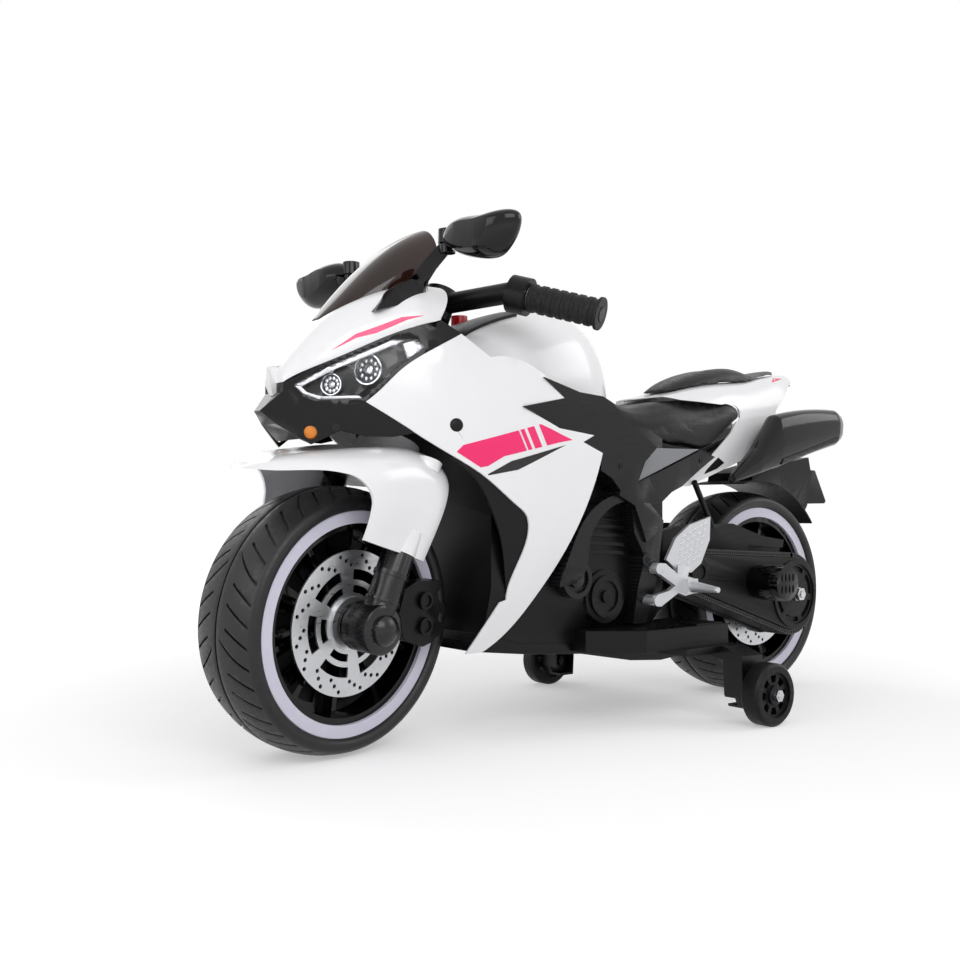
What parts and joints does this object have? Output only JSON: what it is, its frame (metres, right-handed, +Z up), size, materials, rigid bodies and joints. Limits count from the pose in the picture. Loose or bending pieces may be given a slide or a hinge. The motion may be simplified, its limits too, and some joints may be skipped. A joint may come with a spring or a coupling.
{
  "type": "kids electric motorbike",
  "caption": "Battery ride-on sport motorbike for a child with full fairing, steered front fork, geared rear wheel drive, stabiliser wheels and folding mirrors.",
  "frame": {"origin": "on the floor under the middle of the bounding box", "axes": "+X the way the bike drives, +Y to the rider's left, +Z up"},
  "size_m": [1.1794, 0.522, 0.687],
  "materials": {
    "white_gloss": "gloss",
    "black_satin": "satin",
    "black_gloss": "gloss",
    "carbon_look": "carbon pattern, satin",
    "tyre_black": "matte",
    "rubber_black": "matte",
    "ring_pale": "translucent white",
    "disc_silver": "silver plated",
    "steel": "zinc plated",
    "frame_steel": "satin black",
    "screen_smoke": "smoked gloss",
    "lens_clear": "clear gloss",
    "lamp_silver": "plated",
    "amber": "gloss",
    "red_lens": "gloss",
    "seat_black": "grained",
    "panel_grey": "pinstriped satin",
    "silver_paint": "silver satin",
    "button_red": "gloss",
    "battery_case": "matte",
    "gear_nylon": "natural nylon",
    "motor_can": "gloss black"
  },
  "bodies": {
    "chassis": {"training_arms": "frame_steel", "mirror_stalks": "black_gloss", "main_frame": "frame_steel", "upper_cowl": "white_gloss", "windscreen": "screen_smoke", "headlight_housings": "black_gloss", "headlight_lenses": "lens_clear", "headlamps": "lamp_silver", "chin": "black_satin", "indicators": "amber", "side_fairing_left": "white_gloss", "side_fairing_right": "white_gloss", "inner_ducts": "black_satin", "belly_pan": "black_satin", "engine_casing": "black_satin", "frame_covers": "carbon_look", "tank_cover": "white_gloss", "dash_panel": "black_satin", "seat": "seat_black", "seat_side_panels": "panel_grey", "tail_cowl": "white_gloss", "pillion_pad": "seat_black", "tail_lamp": "red_lens", "mufflers": "black_gloss", "rear_mudguard": "black_satin", "swing_arms": "black_satin", "drive_cover": "black_satin", "motor": "motor_can", "rear_axle": "steel", "shock_absorber": "black_satin", "peg_brackets": "silver_paint", "foot_boards": "black_satin", "battery": "battery_case", "control_box": "battery_case"},
    "steering": {"steering_stem": "frame_steel", "front_axle": "steel", "fork_legs": "black_satin", "front_fender": "white_gloss", "brake_calipers": "black_satin", "handlebar": "black_satin", "switch_pods": "black_gloss", "grips": "rubber_black"},
    "front_wheel": {"front_tyre": "tyre_black", "front_rim": "black_gloss", "front_light_rings": "ring_pale", "front_brake_discs": "disc_silver"},
    "rear_wheel": {"rear_tyre": "tyre_black", "rear_rim": "black_gloss", "rear_light_rings": "ring_pale", "rear_brake_disc": "disc_silver", "wheel_gear": "gear_nylon"},
    "idler": {"idler_gear": "gear_nylon"},
    "pinion": {"motor_pinion": "steel"},
    "stabiliser_left": {"training_wheel_left": "black_satin"},
    "stabiliser_right": {"training_wheel_right": "black_satin"},
    "mirror_l": {"mirror_left": "black_gloss"},
    "mirror_r": {"mirror_right": "black_gloss"},
    "pedal": {"accelerator_pedal": "black_satin"},
    "power": {"power_button": "button_red"},
    "horn": {"horn_button": "button_red"}
  },
  "joints": [
    {"name": "steering_turn", "type": "hinge", "parent": "chassis", "child": "steering", "pos_m": [0.42028, 0, 0.17], "axis": [-0.3746, 0, 0.9272], "range_deg": [-30.6, 9.4]},
    {"name": "front_wheel_spin", "type": "hinge", "parent": "steering", "child": "front_wheel", "pos_m": [0.42028, 0, 0.17], "axis": [-0.1706, 0.9829, -0.0689], "continuous": true},
    {"name": "rear_wheel_spin", "type": "hinge", "parent": "chassis", "child": "rear_wheel", "pos_m": [-0.38972, 0, 0.17], "axis": [0, 1, 0], "continuous": true},
    {"name": "idler_spin", "type": "hinge", "parent": "chassis", "child": "idler", "pos_m": [-0.32264, 0.09, 0.16844], "axis": [0, 1, 0], "continuous": true},
    {"name": "pinion_spin", "type": "hinge", "parent": "chassis", "child": "pinion", "pos_m": [-0.29273, 0.11, 0.194], "axis": [0, 1, 0], "continuous": true},
    {"name": "stabiliser_left_spin", "type": "hinge", "parent": "chassis", "child": "stabiliser_left", "pos_m": [-0.16173, 0.238, 0.045], "axis": [0, 1, 0], "continuous": true},
    {"name": "stabiliser_right_spin", "type": "hinge", "parent": "chassis", "child": "stabiliser_right", "pos_m": [-0.16173, -0.238, 0.045], "axis": [0, 1, 0], "continuous": true},
    {"name": "mirror_left_fold", "type": "hinge", "parent": "chassis", "child": "mirror_l", "pos_m": [0.31827, 0.116, 0.646], "axis": [0, 0, 1], "range_deg": [-8, 8]},
    {"name": "mirror_right_fold", "type": "hinge", "parent": "chassis", "child": "mirror_r", "pos_m": [0.31827, -0.116, 0.646], "axis": [0, 0, 1], "range_deg": [-8, 8]},
    {"name": "pedal_press", "type": "hinge", "parent": "chassis", "child": "pedal", "pos_m": [-0.07172, -0.1445, 0.1455], "axis": [0, 1, 0], "range_deg": [0, 6], "stiffness_Nm_per_rad": 0.6, "springref_deg": -3.44},
    {"name": "power_press", "type": "slide", "parent": "chassis", "child": "power", "axis": [0, 0, -1], "range_m": [0, 0.003], "stiffness_N_per_m": 300, "springref_m": -0.002},
    {"name": "horn_press", "type": "slide", "parent": "steering", "child": "horn", "axis": [0.8457, 0.1819, 0.5017], "range_m": [0, 0.003], "stiffness_N_per_m": 200, "springref_m": -0.002}
  ],
  "couplings": [
    {"joint": "idler_spin", "follows": "rear_wheel_spin", "ratio": -5.8462},
    {"joint": "pinion_spin", "follows": "rear_wheel_spin", "ratio": 19.487}
  ]
}
